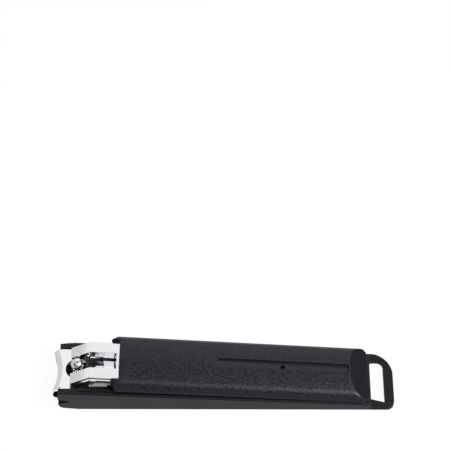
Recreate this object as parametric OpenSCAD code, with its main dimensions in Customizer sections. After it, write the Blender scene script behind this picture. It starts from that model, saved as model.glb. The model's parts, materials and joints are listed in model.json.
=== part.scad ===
// Nail clipper with a catcher case, lever folded down on its case.
// X runs from the blades to the strap loop, Y across the blades, Z up from the table.
// The origin is the middle of the footprint, on the underside of the case.

/* [Overall] */
// Length from the blade corners to the end of the strap loop
overall_l = 88; // [80:1:100]
// Width of the case and of the lever cover
overall_w = 16; // [15:0.5:19]

/* [Case] */
// Thickness of the case's side walls
case_wall = 1.6; // [1.2:0.1:2]
// Thickness of the case's floor
case_floor = 1; // [0.8:0.1:1.4]
// Height of the side walls at their highest, beside the blades
case_front_h = 7.5; // [7.2:0.1:8]
// Height of the side walls at the loop end
case_rear_h = 2.95; // [2.8:0.05:3.6]
// How far the blades stand out of the case
blade_reach = 1.65; // [1.2:0.05:2.4]
// Width of the ledge along the outside of the wall's rim
ledge_w = 0.75; // [0.5:0.05:0.9]
// Depth of that ledge below the rim
ledge_d = 0.45; // [0.3:0.05:0.7]
// Chamfer along the ledge's outer edge
ledge_bevel = 0.3; // [0.2:0.05:0.4]
// Radius of the case's lower front corner
nose_r = 1.6; // [1:0.1:2.4]
// How far the underside rises towards the front
sole_rise = 0.7; // [0.4:0.1:1.2]
// Length of that rise
sole_l = 5; // [4:0.5:12]
// Length of the wedge-shaped slit in each wall at the front
slit_l = 3.4; // [2:0.1:4]
// Height of that slit at its mouth
slit_h = 1.8; // [1.2:0.1:2]
// Width of the rails that hold the lower arm down
rail_w = 0.7; // [0.5:0.05:0.9]

/* [Strap loop] */
// Length of the loop behind the case
loop_l = 6.6; // [6:0.1:9]
// Thickness of the loop at its end
loop_t = 1.9; // [1.6:0.1:2.2]
// Thickness of the loop where it leaves the case
loop_root_t = 2.65; // [2.3:0.05:2.9]
// Width of the web between the case and the loop's hole
loop_root = 0.6; // [0.4:0.1:1]
// Width of the bar across the end of the loop
loop_bar = 2.4; // [1.8:0.1:2.8]
// Width of the loop's two side bars
loop_side = 1.6; // [1.3:0.1:2.2]
// Width of the near side bar at its narrow end
loop_near_w = 0.9; // [0.7:0.1:1.2]
// Outer radius of the loop's far corner
loop_far_r = 6.2; // [4.5:0.1:6.4]
// Outer radius of the loop's near corner
loop_near_r = 1.9; // [1:0.1:2.4]

/* [Arms and blades] */
// Thickness of the two steel arms
arm_t = 1.2; // [1:0.1:1.4]
// Height of the lower cutting edge above the case's floor
lower_jaw_h = 2.3; // [2.1:0.1:2.6]
// Gap between the open cutting edges
blade_gap = 1.4; // [1.2:0.1:1.6]
// Height of the upper jaw over its cutting edge
upper_jaw_h = 1.9; // [1.7:0.1:2.1]
// Rise of the upper arm outside the round dip in its jaw
crest_h = 0.85; // [0.6:0.05:0.95]
// Depth of the hollow of the cutting edges
edge_hollow = 1.2; // [0.5:0.1:1.4]
// Radius of the loose hole round the pin in the upper jaw
jaw_hole_r = 3.1; // [2.6:0.1:3.4]

/* [Rivet and pin] */
// Distance from the rivet to the rear end of the case
rivet_setback = 12.5; // [11.5:0.1:14]
// Radius of the rivet's shank
rivet_r = 1.5; // [1.2:0.1:1.8]
// Distance from the blade corners to the pin
pin_setback = 6.55; // [6.2:0.05:7]
// Radius of the pin's shank
pin_r = 1.4; // [1.2:0.1:1.5]
// Radius of the pin's round head
ball_r = 1.65; // [1.55:0.05:1.75]
// Radius of the lever's cross bar, held in the pin's head
bar_r = 0.6; // [0.5:0.05:0.7]
// Radius of the lever's prong ends round the cross bar
cam_r = 1.9; // [1.85:0.05:2.2]

/* [Lever] */
// Thickness of the lever plate
plate_t = 1.2; // [1:0.1:1.4]
// Distance from the pin back to the bend of the plate
bend_setback = 3.25; // [3.1:0.05:3.5]
// Length of the plate behind the pin
plate_l = 55; // [45:1:58]
// Width of the slot behind the bend
slot_w = 4.7; // [4.2:0.1:5]
// Length of that slot
slot_l = 6.5; // [4:0.1:7]
// Radius of the bar that parts the slot from the fork
bridge_r = 0.6; // [0.5:0.05:0.7]
// Depth of the lips turned down along the slot
lip_h = 1.15; // [0.8:0.05:1.3]

/* [Lever cover] */
// Distance from the pin back to the cover's ears
cover_setback = 8.7; // [8.4:0.05:9.2]
// Thickness of the cover at its front
cover_front_t = 4.1; // [3.9:0.1:4.4]
// Thickness of the cover at its rear
cover_rear_t = 3.6; // [3.2:0.1:4]
// Thickness of the skin over the plate
cover_skin = 1.9; // [1.7:0.05:2]
// Radius of the cover's long rounded shoulders
shoulder_r = 2.5; // [2:0.1:3.4]
// Crown of the cover's top across its width
crown_h = 0.6; // [0.3:0.05:0.8]
// Depth of the notch between the cover's ears
ear_l = 2.2; // [1.6:0.05:3]
// Space in the notch beside the plate
notch_side = 0.5; // [0.2:0.1:0.8]
// Radius of the ears' upper front corners
ear_r = 1; // [0.6:0.1:1.4]
// Radius of the cover's front corners, seen from above
cover_front_r = 2.1; // [1.2:0.1:2.4]
// Radius of the cover's rear corners, seen from above
cover_rear_r = 1.8; // [1.2:0.1:3]
// Length of the slope at the cover's rear end
end_slope_l = 4.6; // [3:0.1:6]
// Height of the upright face under that slope
end_face_h = 0.6; // [0.3:0.1:1]
// Length of the thumb groove, along the cover
groove_l = 35; // [25:1:40]
// Width of the thumb groove
groove_w = 2.5; // [1.8:0.1:3]
// Depth of the groove where it starts
groove_start_d = 0.75; // [0.5:0.05:0.9]
// Depth of the groove at its square end
groove_end_d = 1; // [0.8:0.05:1.2]
// Radius of the small hole in the groove
dot_r = 0.6; // [0.3:0.05:0.7]
// Distance from the plate's rear end to that hole
dot_setback = 2.3; // [1.5:0.1:4]

/* [Hidden] */
$fn = 64;

// Clearances between pieces
side_clear = 0.25;
running_clear = 0.06;
press_clear = 0.02;
arm_play = 0.05;
head_play = 0.1;
cam_clear = 0.05;
ball_clear = 0.2;
rail_clear = 0.2;
gap_front = 1.1;
gap_rear = 0.2;
pocket_clear = 0.05;
hole_clear = 0.4;
// How far cutting shapes run past a face, and joined shapes into each other
over = 1;
overlap = 0.01;

// Widths
inner_w = overall_w - 2 * case_wall;
arm_w = inner_w - 2 * side_clear;
narrow_w = inner_w - 2 * rail_w - 2 * rail_clear;
plate_inset = 0.55;
bridge_sink = 0.9;
plate_w = arm_w - 2 * plate_inset;

// Stations along X
x_tip = -overall_l / 2;
x_end = overall_l / 2;
x_case = x_tip + blade_reach;
x_body = x_end - loop_l;
x_pin = x_tip + pin_setback;
x_bend = x_pin + bend_setback;
x_cover = x_pin + cover_setback;
x_rivet = x_body - rivet_setback;
tail_l = 4.5;
x_tail = x_rivet + tail_l;
x_trough = x_tail + side_clear;
rim_rise_l = 6.5;
x_rim = x_case + rim_rise_l;
// The round dip in the upper arm lets the lever's prongs turn over it at any swivel
dip_clear = 0.8;
dip_r = norm([plate_w / 2, cam_r]) + dip_clear;
x_crest = x_pin + dip_r;
crest_l = 2;
wide_setback = 7.9;
x_wide = x_pin + wide_setback;

// Heights of the arms, the jaws and the pin
arm_top = case_floor + arm_t;
z_hinge = arm_top + arm_play / 2;
upper_seat = arm_top + arm_play;
z_low_edge = case_floor + lower_jaw_h;
z_up_edge = z_low_edge + blade_gap;
z_jaw = z_up_edge + upper_jaw_h;
z_crest = z_jaw + crest_h;
z_axis = z_jaw + cam_r + cam_clear;
head_t = 0.75;
rivet_head_t = 0.25;
head_rim = 0.9;

// Slopes of the wall's rim, the cover and the plate
rim_drop = (case_front_h - case_rear_h) / (x_body - x_rim);
function rim_z(x) = case_front_h - (x - x_rim) * rim_drop;
cover_l = x_body - x_cover;
under_drop = rim_drop + (gap_front - gap_rear) / cover_l;
function under_z(x) = rim_z(x_cover) + gap_front - (x - x_cover) * under_drop;
top_drop = under_drop + (cover_front_t - cover_rear_t) / cover_l;
function top_z(x) = under_z(x_cover) + cover_front_t - (x - x_cover) * top_drop;
function plate_z(x) = top_z(x) - cover_skin;
rim_angle = atan(rim_drop);
top_angle = atan(top_drop);

// Plan of the cutting edges: an arc round a point in front of the blades
edge_r = (pow(arm_w / 2, 2) + pow(edge_hollow, 2)) / (2 * edge_hollow);
x_edge_axis = x_tip + edge_hollow - edge_r;
curl_slack = 0.25;
lower_curl_r = lower_jaw_h + curl_slack;
upper_curl_r = upper_jaw_h + curl_slack;
jaw_bevel_angle = 35;
jaw_flat = 4;

// Draws an outline of X and Z over a width centred on Y = 0
module across(width) {
    rotate([90, 0, 0])
        translate([0, 0, -width / 2])
            linear_extrude(width)
                children();
}

// Draws an outline of Y and Z over a length along X
module along(length) {
    rotate([90, 0, 90])
        linear_extrude(length)
            children();
}

// What a rounded corner leaves over, for a corner at the origin whose shape lies towards +X, +Y
module corner_waste(r) {
    difference() {
        translate([-over, -over])
            square(r + over);
        translate([r, r])
            circle(r);
    }
}

// Section of a jaw that curls up from a flat strip to an edge at radius 0, height h
module jaw_section(h, curl_r) {
    curl = acos(1 - h / curl_r);
    x_curl = curl_r * sin(curl);
    difference() {
        union() {
            translate([x_curl, 0])
                square([jaw_flat, arm_t]);
            intersection() {
                difference() {
                    translate([x_curl, curl_r])
                        circle(curl_r);
                    translate([x_curl, curl_r])
                        circle(curl_r - arm_t);
                }
                square([x_curl + overlap, h]);
            }
        }
        polygon([
            [0, h],
            [(h - arm_t) / tan(jaw_bevel_angle), arm_t],
            [x_curl + over, arm_t],
            [x_curl + over, h + over],
            [0, h + over]
        ]);
    }
}

// A jaw with its hollow edge, cut to the width of the arm
module jaw(h, curl_r) {
    intersection() {
        translate([x_edge_axis, 0, 0])
            rotate_extrude($fn = 128)
                translate([edge_r, 0])
                    jaw_section(h, curl_r);
        translate([x_tip - over, -arm_w / 2, -over])
            cube([jaw_flat + 2 * over + curl_r, arm_w, h + curl_r]);
    }
}

// Front of the flat strips, where they lie on the flat of their jaw
x_lower_flat = x_tip + edge_hollow + lower_curl_r;
x_upper_flat = x_tip + edge_hollow + upper_curl_r;

// What the case's rounded lower front corner leaves over, between the front and the rising underside
module nose_waste() {
    slope = atan(sole_rise / sole_l);
    reach = nose_r + over;
    translate([x_case + nose_r, sole_rise + nose_r * (1 / cos(slope) - tan(slope))])
        difference() {
            polygon([
                [0, 0],
                [-reach, 0],
                [-reach, -reach],
                [-reach * sin(slope), -reach * cos(slope)]
            ]);
            circle(nose_r);
        }
}

// Side outline of the case, without its loop
module case_side() {
    nose_drop = 1.1;
    difference() {
        polygon([
            [x_case, sole_rise],
            [x_case + sole_l, 0],
            [x_body, 0],
            [x_body, rim_z(x_body)],
            [x_rim, rim_z(x_rim)],
            [x_case, case_front_h - nose_drop]
        ]);
        nose_waste();
    }
}

// Side outline of the strap loop, thinner towards its end
module loop_side_view() {
    polygon([
        [x_body - loop_side, 0],
        [x_end, 0],
        [x_end, loop_t],
        [x_body, loop_root_t],
        [x_body - loop_side, loop_root_t]
    ]);
}

// Plan of the strap loop, with its large far corner and its small near corner
module loop_plan() {
    x_hole = x_body + loop_root;
    hole_l = loop_l - loop_root - loop_bar;
    hole_w = overall_w - 2 * loop_side;
    hole_far_share = 0.48;
    hole_far_r = hole_l * hole_far_share;
    difference() {
        translate([x_body - loop_side, -overall_w / 2])
            square([loop_l + loop_side, overall_w]);
        translate([x_end, overall_w / 2])
            rotate(180)
                corner_waste(loop_far_r);
        translate([x_end, -overall_w / 2])
            rotate(90)
                corner_waste(loop_near_r);
        difference() {
            polygon([
                [x_hole, -hole_w / 2],
                [x_hole + hole_l, loop_near_w - overall_w / 2],
                [x_hole + hole_l, hole_w / 2],
                [x_hole, hole_w / 2]
            ]);
            translate([x_hole + hole_l, hole_w / 2])
                rotate(180)
                    corner_waste(hole_far_r);
            translate([x_hole, hole_w / 2])
                rotate(270)
                    corner_waste(hole_far_r / 2);
        }
    }
}

// Ledge, bevel and fine rebate along the outside of one wall's rim
module rim_cut() {
    rebate = 0.2;
    bottom = -ledge_d - ledge_bevel;
    reach = x_body - x_rim + 2 * rim_rise_l;
    translate([x_rim, overall_w / 2, case_front_h])
        rotate([0, rim_angle, 0])
            translate([-rim_rise_l - over, 0, 0])
                along(reach) {
                    polygon([
                        [-ledge_w, over],
                        [-ledge_w, -ledge_d],
                        [-ledge_bevel, -ledge_d],
                        [0, bottom],
                        [over, bottom],
                        [over, over]
                    ]);
                    translate([-rebate, bottom - rebate])
                        square([rebate + over, rebate]);
                }
}

module catcher_case() {
    color([0.13, 0.13, 0.14])
        difference() {
            union() {
                across(overall_w)
                    case_side();
                intersection() {
                    across(overall_w)
                        loop_side_view();
                    linear_extrude(case_front_h)
                        loop_plan();
                }
            }
            difference() {
                translate([x_case - over, -inner_w / 2, case_floor])
                    cube([x_trough - x_case + over, inner_w, case_front_h]);
                for (side = [0, 1])
                    mirror([0, side, 0])
                        translate([x_wide, inner_w / 2 - rail_w, arm_top + arm_play])
                            cube([x_tail - x_wide, rail_w + over, rail_w]);
            }
            for (side = [0, 1])
                mirror([0, side, 0])
                    rim_cut();
            across(overall_w + over)
                polygon([
                    [x_case, z_low_edge + slit_h / 2],
                    [x_case + slit_l, z_low_edge],
                    [x_case, z_low_edge - slit_h / 2],
                    [x_case - over, z_low_edge - slit_h / 2],
                    [x_case - over, z_low_edge + slit_h / 2]
                ]);
            translate([x_pin, 0, -over])
                cylinder(r = pin_r + head_rim + hole_clear, h = case_floor + 2 * over);
            translate([x_rivet, 0, -over])
                cylinder(r = rivet_r + head_rim + hole_clear, h = case_floor + 2 * over);
        }
}

module lower_arm() {
    color([0.82, 0.83, 0.85])
        difference() {
            union() {
                translate([0, 0, case_floor])
                    jaw(lower_jaw_h, lower_curl_r);
                translate([x_lower_flat, -arm_w / 2, case_floor])
                    cube([x_tail - x_lower_flat, arm_w, arm_t]);
            }
            translate([x_pin, 0, 0])
                cylinder(r = pin_r + running_clear, h = arm_top + over);
            translate([x_rivet, 0, 0])
                cylinder(r = rivet_r + press_clear, h = arm_top + over);
        }
}

// Side outline of the upper arm behind its jaw: seat, long rise and crest
module upper_side() {
    top = upper_seat + arm_t;
    x_seat = x_rivet - rivet_r - 2 * head_rim;
    rise = (z_crest - top) / (x_seat - x_crest);
    polygon([
        [x_tail, top],
        [x_seat, top],
        [x_crest, z_crest],
        [x_pin, z_crest],
        [x_pin, z_jaw],
        [x_upper_flat, z_jaw],
        [x_upper_flat, z_jaw - arm_t],
        [x_crest, z_jaw - arm_t],
        [x_crest + crest_l, z_crest - crest_l * rise - arm_t],
        [x_rivet, upper_seat],
        [x_tail, upper_seat]
    ]);
}

// Plan of the upper arm: wide behind the blade, then narrow between the rails
module upper_plan() {
    step = (arm_w - narrow_w) / 2;
    difference() {
        translate([x_tip, -arm_w / 2])
            square([x_wide - x_tip, arm_w]);
        for (side = [0, 1])
            mirror([0, side])
                translate([x_wide, arm_w / 2])
                    rotate(180)
                        corner_waste(step);
    }
    translate([x_tip + jaw_flat, -narrow_w / 2])
        square([x_tail - x_tip - jaw_flat, narrow_w]);
}

module upper_arm() {
    color([0.82, 0.83, 0.85])
        difference() {
            union() {
                translate([0, 0, z_jaw])
                    mirror([0, 0, 1])
                        jaw(upper_jaw_h, upper_curl_r);
                intersection() {
                    across(overall_w)
                        upper_side();
                    linear_extrude(z_crest + over)
                        upper_plan();
                }
            }
            translate([x_pin, 0, z_jaw])
                cylinder(r = dip_r, h = crest_h + over);
            translate([x_pin, 0, 0])
                cylinder(r = jaw_hole_r, h = z_crest + over);
            translate([x_rivet, 0, 0])
                cylinder(r = rivet_r + running_clear, h = z_crest + over);
        }
}

module arm_rivet() {
    z_head = upper_seat + arm_t + head_play;
    color([0.75, 0.76, 0.78])
        translate([x_rivet, 0, 0])
            rotate_extrude()
                polygon([
                    [0, case_floor - head_t],
                    [rivet_r + head_rim, case_floor - head_t],
                    [rivet_r + head_rim, case_floor],
                    [rivet_r, case_floor],
                    [rivet_r, z_head],
                    [rivet_r + head_rim, z_head],
                    [rivet_r + head_rim / 2, z_head + rivet_head_t],
                    [0, z_head + rivet_head_t]
                ]);
}

module lever_pin() {
    flange = case_floor - arm_play;
    color([0.8, 0.81, 0.83])
        difference() {
            translate([x_pin, 0, 0])
                union() {
                    translate([0, 0, case_floor - head_t])
                        cylinder(r = pin_r + head_rim, h = flange - case_floor + head_t);
                    translate([0, 0, case_floor - head_t])
                        cylinder(r = pin_r, h = z_axis - ball_r / 2 - case_floor + head_t);
                    translate([0, 0, z_axis])
                        sphere(ball_r);
                }
            across(3 * ball_r) {
                translate([x_pin, z_axis])
                    circle(bar_r + running_clear);
                translate([x_pin, z_axis - bar_r - running_clear])
                    square([ball_r + over, 2 * (bar_r + running_clear)]);
            }
        }
}

// Side outline of the lever plate, from its rounded prong ends round the bend to its rear end
module plate_side() {
    prong_angle = 17;
    z_bend = plate_z(x_bend);
    x_prong = x_pin - cam_r * cos(prong_angle);
    z_prong = z_axis - cam_r * sin(prong_angle);
    x_rear = x_pin + plate_l;
    fork_angle = atan((z_bend - z_prong) / (x_bend - x_prong));
    half_turn = (fork_angle + top_angle) / 2;
    under_dx = plate_t * tan(half_turn - top_angle) * cos(top_angle);
    intersection() {
        polygon([
            [x_rear, plate_z(x_rear)],
            [x_bend, z_bend],
            [x_prong, z_prong],
            [x_prong + plate_t * sin(fork_angle), z_prong - plate_t * cos(fork_angle)],
            [x_bend + under_dx, plate_z(x_bend + under_dx) - plate_t / cos(top_angle)],
            [x_rear, plate_z(x_rear) - plate_t / cos(top_angle)]
        ]);
        union() {
            translate([x_pin, z_axis])
                circle(cam_r);
            translate([x_pin, 0])
                square([plate_l + over, 3 * z_axis]);
        }
    }
}

module lever_plate() {
    gap_side = 0.5;
    slot_lead = 0.3;
    lip_t = 0.7;
    gap_w = 2 * (ball_r + ball_clear + gap_side);
    x_slot = x_bend + slot_lead;
    x_slot_end = x_slot + slot_l;
    x_bridge = x_bend - bridge_r;
    z_bridge = plate_z(x_bend) - 2 * bridge_r - bridge_sink;
    color([0.82, 0.83, 0.85]) {
        difference() {
            union() {
                across(plate_w)
                    plate_side();
                across(slot_w + 2 * lip_t)
                    polygon([
                        [x_slot, plate_z(x_slot) - plate_t / 2],
                        [x_slot_end, plate_z(x_slot_end) - plate_t / 2],
                        [x_slot_end, plate_z(x_slot_end) - plate_t - lip_h],
                        [x_slot + lip_h, plate_z(x_slot + lip_h) - plate_t - lip_h]
                    ]);
            }
            translate([x_pin - cam_r - over, -gap_w / 2, 0])
                cube([x_slot - x_pin + cam_r + over, gap_w, 3 * z_axis]);
            translate([x_slot - over, -slot_w / 2, 0])
                cube([slot_l + over, slot_w, 3 * z_axis]);
            translate([x_pin + plate_l - dot_setback, 0, 0])
                cylinder(r = dot_r + pocket_clear, h = 3 * z_axis);
        }
        across(gap_w + over) {
            translate([x_pin, z_axis])
                circle(bar_r);
            translate([x_bridge, z_bridge])
                circle(bridge_r);
        }
    }
}

// Section of the cover's outside: a crowned top that runs into two round shoulders
module cover_section() {
    half_w = overall_w / 2;
    deep = 2 * cover_front_t;
    u = half_w - shoulder_r;
    crown_r = (u * u + crown_h * crown_h) / (2 * crown_h);
    v = sqrt(pow(crown_r - shoulder_r, 2) - u * u) - crown_r;
    lean = atan(u / (v + crown_r));
    intersection() {
        translate([0, -crown_r])
            circle(crown_r, $fn = 256);
        polygon([
            [0, -crown_r],
            [2 * crown_r * sin(lean), 2 * crown_r * cos(lean) - crown_r],
            [-2 * crown_r * sin(lean), 2 * crown_r * cos(lean) - crown_r]
        ]);
        translate([-half_w, -deep])
            square([overall_w, 2 * deep]);
    }
    for (side = [-1, 1])
        translate([side * u, v])
            circle(shoulder_r);
    translate([-half_w, -deep])
        square([overall_w, deep + v]);
}

// Plan of the cover, with its rounded corners
module cover_plan() {
    difference() {
        translate([x_cover, -overall_w / 2])
            square([cover_l, overall_w]);
        for (side = [0, 1])
            mirror([0, side]) {
                translate([x_cover, -overall_w / 2])
                    corner_waste(cover_front_r);
                translate([x_body, -overall_w / 2])
                    rotate(90)
                        corner_waste(cover_rear_r);
            }
    }
}

// Thumb groove with a round start and a square end, from its own floor line up through the top
module groove() {
    land = 0.2;
    x_start = x_body - end_slope_l - land - groove_l;
    floor_drop = top_drop + (groove_end_d - groove_start_d) / groove_l;
    translate([x_start, 0, top_z(x_start) - groove_start_d])
        rotate([0, atan(floor_drop), 0])
            linear_extrude(cover_front_t) {
                translate([groove_w / 2, 0])
                    circle(groove_w / 2);
                translate([groove_w / 2, -groove_w / 2])
                    square([groove_l - groove_w / 2, groove_w]);
            }
}

module lever_cover() {
    x_pocket = x_pin + plate_l + pocket_clear;
    pocket_w = plate_w + 2 * pocket_clear;
    notch_w = plate_w + 2 * notch_side;
    color([0.15, 0.15, 0.16])
        difference() {
            intersection() {
                translate([x_cover, 0, top_z(x_cover)])
                    rotate([0, top_angle, 0])
                        translate([-over, 0, 0])
                            along(cover_l + 3 * over)
                                cover_section();
                across(overall_w + over)
                    polygon([
                        [x_cover, under_z(x_cover)],
                        [x_body, under_z(x_body)],
                        [x_body, under_z(x_body) + end_face_h],
                        [x_body - end_slope_l, top_z(x_body - end_slope_l)],
                        [x_body - end_slope_l, top_z(x_cover) + over],
                        [x_cover, top_z(x_cover) + over]
                    ]);
                linear_extrude(3 * z_axis)
                    cover_plan();
            }
            across(pocket_w)
                polygon([
                    [x_cover - over, plate_z(x_cover - over)],
                    [x_pocket, plate_z(x_pocket)],
                    [x_pocket, 0],
                    [x_cover - over, 0]
                ]);
            translate([x_cover - over, -notch_w / 2, 0])
                cube([ear_l + over, notch_w, 2 * top_z(x_cover)]);
            across(overall_w + over)
                translate([x_cover, top_z(x_cover)])
                    rotate(270 - top_angle)
                        corner_waste(ear_r);
            groove();
            translate([x_pin + plate_l - dot_setback, 0, plate_z(x_pocket) - over])
                cylinder(r = dot_r, h = cover_front_t + over);
        }
}

catcher_case();
lower_arm();
upper_arm();
arm_rivet();
lever_pin();
lever_plate();
lever_cover();
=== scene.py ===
# %% [markdown]
# # A nail clipper in its catcher case
# The clipper lies flat on its case with the lever folded down. Its solids come in as a fixed frame:
# case, two arms, rivet, pin, lever plate and lever cover. This lesson sets the camera and the light,
# gives every piece its rounded edges and its finish, and leaves each solid's size and place alone.

# %% Load the clipper's solids
import json
import math

import bpy
from mathutils import Matrix, Vector

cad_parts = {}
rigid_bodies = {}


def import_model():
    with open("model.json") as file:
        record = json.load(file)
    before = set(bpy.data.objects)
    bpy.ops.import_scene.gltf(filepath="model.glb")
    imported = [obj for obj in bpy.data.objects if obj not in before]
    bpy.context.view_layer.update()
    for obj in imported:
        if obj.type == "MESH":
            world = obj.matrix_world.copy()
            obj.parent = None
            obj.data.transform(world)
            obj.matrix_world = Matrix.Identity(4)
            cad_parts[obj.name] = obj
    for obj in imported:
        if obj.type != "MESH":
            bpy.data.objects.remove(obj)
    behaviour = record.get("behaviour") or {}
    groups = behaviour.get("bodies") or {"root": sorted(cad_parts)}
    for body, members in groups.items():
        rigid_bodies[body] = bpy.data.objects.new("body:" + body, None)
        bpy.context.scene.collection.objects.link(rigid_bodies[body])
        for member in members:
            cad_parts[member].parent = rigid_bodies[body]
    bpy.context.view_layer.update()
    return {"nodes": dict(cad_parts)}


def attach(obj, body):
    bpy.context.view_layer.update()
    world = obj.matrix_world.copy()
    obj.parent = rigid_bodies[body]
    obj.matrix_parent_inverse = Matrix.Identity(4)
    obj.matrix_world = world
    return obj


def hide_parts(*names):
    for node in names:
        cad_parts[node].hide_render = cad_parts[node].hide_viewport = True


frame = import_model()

MM = 0.001
cad_nodes = frame["nodes"]

# %% [markdown]
# ## The camera
# A product photographer uses a long lens from a little way off, so that the case stays almost
# straight. The view looks along +Y from 51 degrees above the table, with the clipper low in the frame.
# A camera can be pushed about by hand until the picture fits. Here its place is worked out from facts
# that can each be corrected alone: its lens, its pitch and roll, and where the middle of the clipper's
# footprint stands in the picture at which scale.

# %% Place the camera
PICTURE_PX = 450
SENSOR_MM = 36
LENS_MM = 152
CAMERA_PITCH = math.radians(51.2)
CAMERA_ROLL = math.radians(0.14)
FOOTPRINT_PX = Vector((223.3, 383.6))
SCALE_PX_PER_M = 3844
NEAREST_SEEN = 10 * MM

focal_px = LENS_MM / SENSOR_MM * PICTURE_PX
depth = focal_px / SCALE_PX_PER_M
turn = Matrix.Rotation(math.pi / 2 - CAMERA_PITCH, 3, "X") @ Matrix.Rotation(CAMERA_ROLL, 3, "Z")
right, up, backward = turn.col
off_right = (FOOTPRINT_PX.x - PICTURE_PX / 2) / SCALE_PX_PER_M
off_down = (FOOTPRINT_PX.y - PICTURE_PX / 2) / SCALE_PX_PER_M
camera_at = up * off_down - right * off_right + backward * depth

bpy.ops.object.select_all(action="DESELECT")
bpy.ops.object.camera_add(location=camera_at, rotation=turn.to_euler())
camera = bpy.context.object
camera.data.sensor_width = SENSOR_MM
camera.data.lens = LENS_MM
camera.data.clip_start = NEAREST_SEEN
bpy.context.scene.camera = camera
print("camera stands", round(depth, 3), "m from the clipper")

# %% [markdown]
# ## Writing shader nodes as sums
# A shader is a graph of nodes, and long graphs are hard to read as lists of links. The first class
# below wraps a node's output socket so that Python's own operators add Math nodes. Everything else,
# such as a noise or a bump, comes from one method of the second class, which takes the node's type,
# its settings and its inputs. Most fields below are zones: 1 on one part of a piece and 0 elsewhere.
# A zone's edge is a short, smooth step, because a hard step would look like a cut. CRISP and SOFT are
# half the width of such a step.

# %% A socket that can be added and multiplied
CRISP = 0.05 * MM
SOFT = 0.1 * MM


class Field:
    """An output socket of a shader node, for use in Python sums."""

    def __init__(self, graph, socket):
        self.graph = graph
        self.socket = socket

    def math(self, operation, first, second=0.0):
        return self.graph.node("ShaderNodeMath", {"operation": operation}, {0: first, 1: second})

    def __add__(self, other):
        return self.math("ADD", self, other)

    __radd__ = __add__

    def __sub__(self, other):
        return self.math("SUBTRACT", self, other)

    def __rsub__(self, other):
        return self.math("SUBTRACT", other, self)

    def __mul__(self, other):
        return self.math("MULTIPLY", self, other)

    __rmul__ = __mul__

    def size(self):
        """The value without its sign."""
        return self.math("ABSOLUTE", self)

    def larger(self, other):
        return self.math("MAXIMUM", self, other)

    def smaller(self, other):
        return self.math("MINIMUM", self, other)

    def ramp(self, start, end, curve="LINEAR"):
        """0 at the start value and 1 at the end value, and level outside them."""
        inputs = {"Value": self, "From Min": start, "From Max": end}
        return self.graph.node("ShaderNodeMapRange", {"interpolation_type": curve}, inputs)

    def above(self, edge, softness=CRISP):
        """0 below the edge and 1 above it, over a smooth step."""
        return self.ramp(edge - softness, edge + softness, "SMOOTHSTEP")

    def below(self, edge, softness=CRISP):
        """1 below the edge and 0 above it, over a smooth step."""
        return 1 - self.above(edge, softness)

    def near(self, middle, reach, softness=CRISP):
        """1 within this reach of the middle value and 0 outside it."""
        return (self - middle).size().below(reach, softness)


# %% A node tree that is built by calls
class Graph:
    """A node tree, with a short call for each kind of node that the clipper needs."""

    def __init__(self, tree):
        self.tree = tree

    def node(self, kind, settings=None, inputs=None, output=0):
        """Adds a node, sets its settings first and then its inputs, and gives one of its outputs."""
        made = self.tree.nodes.new(kind)
        for name, value in (settings or {}).items():
            setattr(made, name, value)
        for name, value in (inputs or {}).items():
            self.feed(made.inputs[name], value)
        return Field(self, made.outputs[output])

    def feed(self, socket, value):
        """Links a field to an input socket, or sets the socket to a value."""
        if isinstance(value, Field):
            self.tree.links.new(value.socket, socket)
        else:
            socket.default_value = value

    def looked_at(self):
        """1 for the rays by which the camera, a mirror or a glass looks at a surface."""
        looks = self.node("ShaderNodeLightPath", output="Is Camera Ray")
        for kind in ("Is Glossy Ray", "Is Transmission Ray"):
            looks = looks.larger(self.node("ShaderNodeLightPath", output=kind))
        return looks

    def place(self):
        """The piece's own coordinates, in metres."""
        return self.node("ShaderNodeTexCoord", output="Object")

    def axes(self):
        """The piece's own X, Y and Z, in metres."""
        place = self.place()
        return [self.node("ShaderNodeSeparateXYZ", inputs={0: place}, output=axis) for axis in "XYZ"]

    def noise(self, size, detail=2.0, stretch=(1, 1, 1), rough=0.5):
        """Noise with features of about this size in metres, drawn out along an axis by stretch."""
        mapping = {"Vector": self.place(), "Scale": [1 / (size * s) for s in stretch]}
        spot = self.node("ShaderNodeMapping", inputs=mapping)
        inputs = {"Vector": spot, "Scale": 1.0, "Detail": detail, "Roughness": rough}
        return self.node("ShaderNodeTexNoise", inputs=inputs)

    def bump(self, height, depth, under=None):
        """A bump of this depth in metres, on top of another bump if one is given."""
        inputs = {"Height": height, "Strength": 1.0, "Distance": depth}
        if under is not None:
            inputs["Normal"] = under
        return self.node("ShaderNodeBump", inputs=inputs)

    def blend(self, factor, first, second):
        """A colour between two others, each three numbers or a field."""
        first, second = [c if isinstance(c, Field) else (*c, 1.0) for c in (first, second)]
        inputs = {"Factor": factor, 6: first, 7: second}
        return self.node("ShaderNodeMix", {"data_type": "RGBA"}, inputs, output=2)


# %% A material that is set by the names of its sockets
class Finish(Graph):
    """A material with a Principled shader. A space in a socket's name is written as an underscore."""

    def __init__(self, name, **constants):
        self.material = bpy.data.materials.new(name)
        self.material.use_nodes = True
        super().__init__(self.material.node_tree)
        self.principled = self.tree.nodes["Principled BSDF"]
        self.shade(**constants)

    def shade(self, **values):
        """Sets or links sockets of the Principled shader."""
        for name, value in values.items():
            self.feed(self.principled.inputs[name.replace("_", " ")], value)


# %% [markdown]
# ## Floor and room
# A studio shot on white has a sheet of paper under the object and a white room round it. The paper
# could simply be lit until it is white, but that would burn out the clipper too. So the paper glows
# for the rays that look at it, from the lens or by way of a mirror-like surface, and otherwise it is
# plain paper that still catches a soft shadow. The room works in the same way: it is plain white where
# it is looked at, and dimmer as a light.

# %% Floor
FLOOR_SIZE = 4.0
PAPER_GLOW = 0.93
PAPER_CLOUD = 20 * MM

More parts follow.
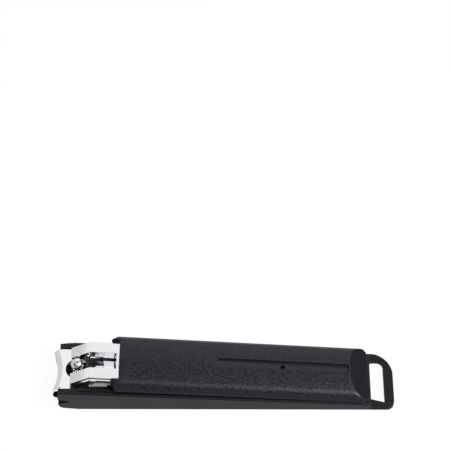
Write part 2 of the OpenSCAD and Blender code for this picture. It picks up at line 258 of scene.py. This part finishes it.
bpy.ops.object.select_all(action="DESELECT")
bpy.ops.mesh.primitive_plane_add(size=FLOOR_SIZE, location=(0, 0, 0))
floor = bpy.context.object
floor.name = "floor"

paper = Finish("white_paper", Roughness=0.9, Specular_IOR_Level=0.1)
paper.shade(Base_Color=paper.blend(paper.noise(PAPER_CLOUD), (0.93, 0.93, 0.93), (0.95, 0.95, 0.95)))
surface = paper.node("ShaderNodeMixShader", inputs={
    0: paper.looked_at() * PAPER_GLOW,
    1: Field(paper, paper.principled.outputs[0]),
    2: paper.node("ShaderNodeEmission", inputs={"Color": (1, 1, 1, 1), "Strength": 1.0}),
})
paper.feed(paper.tree.nodes["Material Output"].inputs["Surface"], surface)
floor.data.materials.append(paper.material)
print("floor of white paper,", FLOOR_SIZE, "m wide")

# %% Room
ROOM_LEVEL = 0.65

world = bpy.data.worlds.new("studio")
bpy.context.scene.world = world
world.use_nodes = True
room = Graph(world.node_tree)
backdrop = room.tree.nodes["Background"]
backdrop.inputs["Color"].default_value = (1, 1, 1, 1)
room.feed(backdrop.inputs["Strength"], ROOM_LEVEL + (1 - ROOM_LEVEL) * room.looked_at())
print("white room that lights at", ROOM_LEVEL)


# %% [markdown]
# ## Cards and lamps
# Polished metal only looks like metal when it has something darker to mirror. A photographer stands
# grey cards round the object for that. One stands in front and one lies on the floor there, and they
# darken the sides that face the lens. One hangs overhead and takes the glare off the cover's top. Two
# stand on the left, one lies there, and together they grey the jaw and the lever's fork. The last one
# stands on the right. Only mirror rays see the cards, so they throw no shadow. The lamps are wide and
# soft, and stay at a plain level.


# %% Grey cards
def grey_card(name, place, size, grey, lying=False, fade=0.0):
    """A flat card that only reflections see, turned towards the clipper or lying on the floor.

    It pales to white over the given share of its height, at the top.
    """
    bpy.ops.object.select_all(action="DESELECT")
    facing = (0, 0, 0) if lying else Vector(place).to_track_quat("-Z", "Y").to_euler()
    bpy.ops.mesh.primitive_plane_add(size=1.0, location=place, rotation=facing)
    card = bpy.context.object
    card.name = name
    card.scale = (*size, 1.0)
    card.visible_camera = card.visible_diffuse = card.visible_shadow = False
    tone = Finish(name + "_tone", Base_Color=(0, 0, 0, 1), Emission_Strength=1.0)
    if fade:
        height = tone.axes()[1]
        tone.shade(Emission_Color=tone.blend(height.ramp(0.5 - fade, 0.5), [grey] * 3, [1.0] * 3))
    else:
        tone.shade(Emission_Color=(grey, grey, grey, 1.0))
    card.data.materials.append(tone.material)
    print(name, "of grey", grey)


ABOVE_FLOOR = 0.5 * MM

grey_card("card_front", (0, -0.571, 0.185), (1.6, 0.53), 0.3)
grey_card("card_on_floor", (0, -0.365, ABOVE_FLOOR), (1.6, 0.66), 0.3, lying=True)
grey_card("card_overhead", (0, 0.12, 0.6), (1.4, 0.44), 0.35)
grey_card("card_left", (-0.5, 0.3, 0.24), (0.9, 0.56), 0.66, fade=0.5)
grey_card("card_left_front", (-0.5, -0.26, 0.33), (0.5, 0.5), 0.1)
grey_card("card_floor_left", (-0.195, 0.09, ABOVE_FLOOR), (0.3, 0.3), 0.6, lying=True)
grey_card("card_right", (0.55, 0.35, 0.2), (0.7, 0.5), 0.2)


# %% Lamps
def softbox(name, place, size, watts):
    """A soft lamp of this width and depth at a place, turned towards the clipper."""
    bpy.ops.object.select_all(action="DESELECT")
    bpy.ops.object.light_add(type="AREA", location=place)
    lamp = bpy.context.object
    lamp.name = name
    lamp.data.shape = "RECTANGLE"
    lamp.data.size, lamp.data.size_y = size
    lamp.data.energy = watts
    lamp.rotation_euler = (-Vector(place)).to_track_quat("-Z", "Y").to_euler()
    print(name, "of", watts, "W")


softbox("key_lamp", (0.22, -0.1, 0.28), (0.3, 0.15), 1.4)
softbox("fill_lamp", (0.5, -0.2, 0.5), (0.3, 0.3), 0.5)
bpy.context.scene.view_settings.view_transform = "Standard"

# %% [markdown]
# ## The cover's grained plastic
# The lever's cover is moulded in a tool that was spark-eroded, which leaves a fine grain, and the grain
# breaks the highlight along the shoulder into small sparkles. The thumb groove on top and the slope at
# the rear end are smooth. The groove's floor is painted lighter as light and the slope darker as shade,
# and the groove's rear end is duller and painted lighter still. The skirt along the sides and the front
# end are painted darker as shade. Thousands of modelled bumps would give the grain too, but a noise with
# a steep step costs almost nothing.
#
# Three soft forms are in the bump as well: the round of the front end, the round of the slope's edge
# and the lean of the ears' inner walls. The outline doesn't show them, so the mesh has plain faces there.


# %% Cover forms
def cover_forms(x, y, z, down_slope, front_end):
    """The height of the cover's soft forms over its plain faces, in metres."""
    slope_edge_start, slope_edge_end = 30.6 * MM, 31.25 * MM
    slope_round, front_round = -0.17 * MM, -0.95 * MM
    ear_wall_y, ear_wall_reach, ear_rear_x = 6.1 * MM, 0.15 * MM, -26.6 * MM
    ear_top_z, ear_lean = 11.4 * MM, 1.3
    slope_edge = down_slope.ramp(slope_edge_start, slope_edge_end)
    on_ear_wall = y.size().near(ear_wall_y, ear_wall_reach) * x.below(ear_rear_x)
    ears = on_ear_wall * ear_lean * (ear_top_z - z)
    return slope_edge * slope_edge * slope_round + front_end * front_end * front_round + ears


# %% Cover finish
def black_plastic(name, gloss, tint):
    """Black plastic whose gloss has a faint purple cast."""
    return Finish(name, Specular_IOR_Level=gloss, Specular_Tint=(*tint, 1.0))


def grained_cover():
    """The cover's grained plastic, with a smooth thumb groove and a smooth slope at its rear end, and
    painted light and shade on its groove, slope, skirt and front end.
    """
    groove_half_w, groove_front_x, groove_rear_x = 1.28 * MM, -2.4 * MM, 32.25 * MM
    slope_fall, slope_plane, slope_front_x = 0.7354, 31.13 * MM, 32.6 * MM
    front_round_x, front_x, skirt_y = -25.9 * MM, -28.75 * MM, 7.8 * MM
    grain_size, grain_depth, cloud_size = 0.5 * MM, 0.03 * MM, 6 * MM
    grain_level, grain_step = 0.5, 0.16
    black, lit_black = (0.0045, 0.0038, 0.0062), (0.0145, 0.0128, 0.0178)
    # Painted light: the groove's rear end is lighter, in place of light on its end wall.
    painted_light_black = (0.06, 0.054, 0.066)

    finish = black_plastic("cover_grain", 0.31, (0.95, 0.88, 1.0))
    x, y, z = finish.axes()
    down_slope = z + slope_fall * x
    on_slope = down_slope.above(slope_plane) * x.above(slope_front_x)
    in_groove = y.size().below(groove_half_w) * x.above(groove_front_x, SOFT)
    groove_floor = in_groove * (1 - on_slope)
    groove_end = groove_floor * x.above(groove_rear_x, softness=0.08 * MM)
    front_end = x.ramp(front_round_x, front_x)
    on_skirt = y.size().above(skirt_y, softness=0.15 * MM)

    smooth = in_groove.larger(on_slope)
    speckle = finish.noise(grain_size, rough=0.6).above(grain_level, grain_step) * (1 - smooth)
    cloud = finish.noise(cloud_size)
    # Painted shade: the skirt along the sides and the front end are darker.
    painted_shade_share = (1 - 0.7 * on_skirt) * (1 - 0.8 * front_end)
    # Painted light and shade: the groove's floor is lighter and the slope darker; the speckles are the
    # grain.
    light = (speckle + groove_floor + 0.2 * on_slope) * painted_shade_share
    forms = finish.bump(cover_forms(x, y, z, down_slope, front_end), 1.0)
    gloss_loss = 0.14 * speckle + 0.06 * (cloud - 0.5) - 0.1 * smooth
    finish.shade(
        Base_Color=finish.blend(groove_end, finish.blend(light, black, lit_black), painted_light_black),
        Roughness=0.29 + gloss_loss + 0.4 * on_skirt + 0.5 * groove_end,
        Normal=finish.bump(speckle, grain_depth, forms),
    )
    return finish.material


cover_grain = grained_cover()
print("finish:", cover_grain.name)

# %% [markdown]
# ## The case's satin plastic
# The case comes from a plainer tool, so its black is smoother, with only a trace of texture. It could
# share the cover's finish with less grain, but it has places of its own that are duller and painted
# darker as shade: the wedge-shaped slits at the front of its walls, and the strap loop. So it gets its
# own finish.


# %% Case finish
def satin_case():
    """The case's plainer plastic, with only a trace of texture."""
    wall_y, slit_rear_x, loop_front_x = 7.9 * MM, -38.6 * MM, 38 * MM
    slit_middle_z, slit_reach = 3.3 * MM, 1.0 * MM
    grain_size, grain_depth, cloud_size = 0.4 * MM, 0.006 * MM, 5 * MM
    deep_black, lit_black = (0.0012, 0.001, 0.0016), (0.0075, 0.0062, 0.0082)

    finish = black_plastic("case_satin", 0.28, (0.98, 0.86, 1.0))
    x, y, z = finish.axes()
    inside_wall = y.size().below(wall_y, softness=0.03 * MM)
    by_slit = x.below(slit_rear_x, SOFT) * z.near(slit_middle_z, slit_reach, SOFT)
    on_loop = x.above(loop_front_x, softness=0.5 * MM)
    # Painted shade: the slits at the front of the walls and the strap loop are darker.
    painted_shade = inside_wall * by_slit + on_loop

    grain = finish.noise(grain_size)
    cloud = finish.noise(cloud_size)
    finish.shade(
        Base_Color=finish.blend(grain + 0.5 - painted_shade, deep_black, lit_black),
        Roughness=0.4 + 0.1 * (grain - 0.5) + 0.06 * (cloud - 0.5) + 0.3 * painted_shade,
        Normal=finish.bump(grain, grain_depth),
    )
    return finish.material


case_satin = satin_case()
print("finish:", case_satin.name)

# %% [markdown]
# ## Chrome
# The arms, the lever plate, the rivet and the pin are blanked or turned from steel, polished and
# plated. Chrome is almost a mirror, and a perfect mirror looks like a computer picture. Real plate keeps
# fine polishing lines along the piece, soft waves and a trace of haze, so three noises stand for these.
# In shaded places, such as under the lever and in its fork, the steel is painted dark as shade, and on
# the arm's crest beside the lever it is painted grey as shade and made satin. Each chrome therefore takes
# functions that say where this is so.


# %% Chrome plate
def chrome(name, tone, rough, line_depth, painted_shade=None, painted_grey=None, forms=None):
    """Chrome plate: fine lengthwise polishing lines, soft waves and a trace of haze.

    The first zone field is 1 where the steel is painted dark as shade, and the second is 1 where it is
    painted grey as shade and made satin. The field of forms is the height of soft forms over the solid's
    plain faces, in metres.
    """
    line_size, line_stretch, wave_size, haze_size = 0.05 * MM, (60, 1, 1), 2.5 * MM, 1.2 * MM
    wave_depth = 0.01 * MM
    painted_shade_steel = (0.055, 0.055, 0.06)

    finish = Finish(name, Metallic=1.0)
    lines = finish.noise(line_size, stretch=line_stretch)
    wave = finish.noise(wave_size, detail=1.0)
    haze = finish.noise(haze_size, detail=3.0)
    hazy_tone = [0.94 * t for t in tone]
    colour = finish.blend(haze, hazy_tone, tone)
    # Painted shade: the dark zones blend the colour to dark steel, and the grey zones most of the way
    # there.
    darkness = painted_shade(finish) if painted_shade else 0.0
    grey_shade_and_satin = painted_grey(finish) if painted_grey else 0.0
    if painted_shade or painted_grey:
        colour = finish.blend(darkness + 0.7 * grey_shade_and_satin, colour, painted_shade_steel)
    base = finish.bump(forms(finish), 1.0) if forms else None
    finish.shade(
        Base_Color=colour,
        Roughness=rough + 0.05 * (haze - 0.5) + 0.03 * (lines - 0.5) + 0.25 * darkness + 0.3 * grey_shade_and_satin,
        Normal=finish.bump(wave, wave_depth, finish.bump(lines, line_depth, base)),
    )
    print("finish:", name)
    return finish.material


# %% [markdown]
# ## The lever plate's zones
# The lever is a strip of steel with a slot in it, and its front is a fork that is bent down. A cross
# bar between the prongs lies in the pin's head, and a second bar parts the fork from the slot. Both bars
# and the slot's rear corner are painted dark as shade. A punch leaves the cut sides leaning a little, and
# the bend is round. The solid has a plain corner and upright sides there, so both forms are in the bump.
# A point's depth below the top face is the smaller of its depths below two planes, the flat's and the
# fork's.


# %% Lever zones and forms
def slot_corner(x, y):
    """1 along the curved rear corner of the lever's slot, which is painted dark as a line of shade."""
    slot_half_w, corner_x, corner_half_w = 2.2 * MM, -27.85 * MM, 0.3 * MM
    bow, taper = 0.11, 0.08
    off_middle = y.size()
    off_curve = (x - corner_x + bow * off_middle).size()
    on_curve = (off_curve + taper * off_middle).below(corner_half_w, softness=0.04 * MM)
    return off_middle.below(slot_half_w) * on_curve


def lever_bars(finish):
    """1 on the two bars inside the lever's fork and in the slot's corner, which are painted dark as
    shade.
    """
    bars_half_w, bars_rear_x = 2.25 * MM, -33.4 * MM
    x, y, _ = finish.axes()
    return y.size().below(bars_half_w) * x.below(bars_rear_x) + slot_corner(x, y)


def depth_below_plane(x, z, tilt, height):
    """How deep a point lies below a plane that falls by this tilt towards +X, in metres."""
    return height - math.sin(tilt) * x - math.cos(tilt) * z


def lever_forms(finish):
    """The round bend between the lever's fork and its flat, and the lean of its cut sides."""
    bend_x, bend_reach, bend_round = -34.2 * MM, 2.5 * MM, -0.38 * MM
    flat_tilt, flat_height = math.radians(4.76), 7.94 * MM
    fork_tilt, fork_height = math.radians(-29.08), 26.07 * MM
    lip, side_bottom, side_y = 0.6 * MM, 1.6 * MM, 5.0 * MM
    lip_lean, side_lean = -0.08 * MM, 0.16 * MM
    x, y, z = finish.axes()
    at_bend = (x - bend_x).size().ramp(bend_reach, 0.0)
    under_flat = depth_below_plane(x, z, flat_tilt, flat_height)
    under_top = under_flat.smaller(depth_below_plane(x, z, fork_tilt, fork_height))
    lean = lip_lean * under_top.ramp(0.0, lip) + side_lean * under_top.ramp(lip, side_bottom)
    return at_bend * at_bend * bend_round + lean * y.size().above(side_y, SOFT)


# %% [markdown]
# ## The upper arm's zones
# The upper arm has a round dip in its jaw, in which the lever's prongs turn, and a crest behind the dip.
# The dip and the strips beside the lever's slot are painted dark as shade, where the lever shades them,
# apart from a middle strip and a tongue under the slot that are left bright. The crest on both sides of
# the lever is painted grey as shade and made satin, and its fall towards the arm's edges is in the bump.
# A mask could be painted for all this, but zones that are worked out from distances stay sharp at any
# zoom and need no picture.

# %% Arm zones
CREST_X = -31.4 * MM
CREST_REACH = 3.0 * MM


def arm_crest(finish):
    """1 on the arm's crest beside the lever, which is painted grey as shade and made satin."""
    crest_y = 4.3 * MM
    x, y, _ = finish.axes()
    return y.size().above(crest_y, SOFT) * x.near(CREST_X, CREST_REACH, SOFT)


def crest_round(finish):
    """The fall of the crest towards the arm's edges."""
    fall_start_y, arm_edge_y, fall = 4.2 * MM, 6.2 * MM, -1.1 * MM
    x, y, _ = finish.axes()
    to_edge = y.size().ramp(fall_start_y, arm_edge_y)
    return to_edge * to_edge * x.near(CREST_X, CREST_REACH, softness=0.4 * MM) * fall


def under_lever(finish):
    """1 where the arm is painted dark as shade under the lever: in the dip and beside the slot."""
    dip_top_z, pin_rear_x, slot_rear_x = 7.3 * MM, -35.4 * MM, -27.6 * MM
    bright_half_w, slot_half_w, strip_half_w = 0.95 * MM, 2.4 * MM, 3.4 * MM
    prong_x, prong_reach, prong_inner_y = -35.9 * MM, 3.3 * MM, 3.8 * MM
    tongue_x, tongue_slant = -28.4 * MM, 2.05
    x, y, z = finish.axes()
    off_middle = y.size()
    in_dip = z.below(dip_top_z)
    behind_pin = x.above(pin_rear_x, SOFT) * x.below(slot_rear_x, SOFT)
    beside_slot = off_middle.above(slot_half_w) * off_middle.below(strip_half_w, SOFT)
    in_slot = off_middle.above(bright_half_w) * off_middle.below(slot_half_w)
    # The tongue under the slot is left bright, outside the painted shade.
    bright_tongue = (x + tongue_slant * off_middle).above(tongue_x, SOFT)
    by_prongs = off_middle.above(prong_inner_y, SOFT) * x.near(prong_x, prong_reach, softness=0.2 * MM)
    along_slot = behind_pin * (beside_slot + in_slot * in_dip * (1 - bright_tongue))
    painted_shade = along_slot + by_prongs * in_dip * (1 - arm_crest(finish))
    return painted_shade.larger(slot_corner(x, y))


# %% Three chromes
# The arm's crest is painted grey as shade, and its dip and slot strips are painted dark as shade.
blade_chrome = chrome(
    "blade_chrome", (0.9, 0.9, 0.92), 0.07, 0.0006 * MM,
    painted_shade=under_lever, painted_grey=arm_crest, forms=crest_round,
)
lever_chrome = chrome(
    "lever_chrome", (0.87, 0.87, 0.89), 0.12, 0.001 * MM,
    painted_shade=lever_bars, forms=lever_forms,
)
pin_chrome = chrome("pin_chrome", (0.8, 0.8, 0.82), 0.05, 0.0004 * MM)

# %% [markdown]
# ## Rounded edges
# A solid from CAD has edges without any width, and such an edge never catches the light. Every real
# edge has a small round. The rounds could be drawn in the shader alone, but then the exported mesh
# would lack them, so a bevel modifier makes them. Each solid comes in as loose triangles, so a copy of
# it is merged and its flat faces are dissolved first. Points a few hundredths of a millimetre apart
# are joined too, because a bevel folds over itself along such short edges. The copy then stands for
# its solid and moves with the same body.
#
# The cover's two ears beside the lever end in slanted outer corners, which the solid doesn't have.
# A bisect with a tilted plane cuts them before the edges are rounded.

# %% Clean a copy and cut its ears
FLAT_ANGLE = math.radians(0.5)
EAR_CUT_AT = Vector((-28.5, 6.1, 11.2)) * MM
EAR_CUT_FACING = Vector((-0.45, 0.73, 0.52))


def merge_points(piece, distance):
    """Joins points that lie this close, and dissolves the lines inside flat faces."""
    bpy.ops.object.select_all(action="DESELECT")
    piece.select_set(True)
    bpy.context.view_layer.objects.active = piece
    bpy.ops.object.mode_set(mode="EDIT")
    bpy.ops.mesh.select_all(action="SELECT")
    bpy.ops.mesh.remove_doubles(threshold=distance)
    bpy.ops.mesh.dissolve_limited(angle_limit=FLAT_ANGLE)
    bpy.ops.object.mode_set(mode="OBJECT")


def cut_ear_corners():
    """Cuts the outer front corner off both ears of the active piece, at a slant."""
    bpy.ops.object.mode_set(mode="EDIT")
    for side in (1, -1):
        mirrored = Vector((1, side, 1))
        bpy.ops.mesh.select_all(action="SELECT")
        bpy.ops.mesh.bisect(
            plane_co=EAR_CUT_AT * mirrored,
            plane_no=EAR_CUT_FACING * mirrored,
            use_fill=True,
            clear_outer=True,
        )
    bpy.ops.object.mode_set(mode="OBJECT")


# %% Round the edges of one solid
SAME_POINT = 0.001 * MM
SHORTEST_EDGE = 0.03 * MM
BEVEL_STEPS = 2
BEVELLED_ANGLE = math.radians(25)
SMOOTHED_ANGLE = math.radians(50)


def rounded_copy(node, edge_r, material, body, cut=None):
    """A copy of a solid with its sharp edges rounded to this radius, in the solid's place."""
    bpy.ops.object.select_all(action="DESELECT")
    cad_nodes[node].select_set(True)
    bpy.context.view_layer.objects.active = cad_nodes[node]
    bpy.ops.object.duplicate()
    piece = bpy.context.object
    bpy.ops.object.parent_clear(type="CLEAR_KEEP_TRANSFORM")
    piece.name = node + "_rounded"
    merge_points(piece, SAME_POINT)
    if cut:
        cut()
    merge_points(piece, SHORTEST_EDGE)

    bevel = piece.modifiers.new("edge_round", "BEVEL")
    bevel.width = edge_r
    bevel.segments = BEVEL_STEPS
    bevel.use_clamp_overlap = False
    bevel.limit_method = "ANGLE"
    bevel.angle_limit = BEVELLED_ANGLE
    bpy.ops.object.modifier_apply(modifier=bevel.name)
    bpy.ops.object.shade_smooth_by_angle(angle=SMOOTHED_ANGLE)
    flats = piece.modifiers.new("flat_faces_stay_flat", "WEIGHTED_NORMAL")
    flats.keep_sharp = True
    bpy.ops.object.modifier_apply(modifier=flats.name)

    piece.data.materials.clear()
    piece.data.materials.append(material)
    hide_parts(node)
    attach(piece, body)
    print(piece.name, len(piece.data.polygons), "faces")


# %% [markdown]
# ## The seven pieces
# The moulded case is the clipper's fixed body. It holds the lower arm between its rails, and the rivet
# joins both arms at the rear. The upper arm bends down to cut. The pin turns in both arms, and the
# lever plate flips over on it with its cover. All of them get the same treatment, so one call each is
# enough: the solid, the radius of its edges, its finish, and the body that it moves with. The radii are
# small because the details are: a wider round would eat the rebate on the case and the cover's groove.

# %% All pieces with their edges and finishes
rounded_copy("catcher_case", 0.04 * MM, case_satin, "case")
rounded_copy("lower_arm", 0.02 * MM, blade_chrome, "case")
rounded_copy("upper_arm", 0.08 * MM, blade_chrome, "upper_blade")
rounded_copy("arm_rivet", 0.06 * MM, pin_chrome, "case")
rounded_copy("lever_pin", 0.05 * MM, pin_chrome, "pin")
rounded_copy("lever_plate", 0.08 * MM, lever_chrome, "lever")
rounded_copy("lever_cover", 0.06 * MM, cover_grain, "lever", cut_ear_corners)
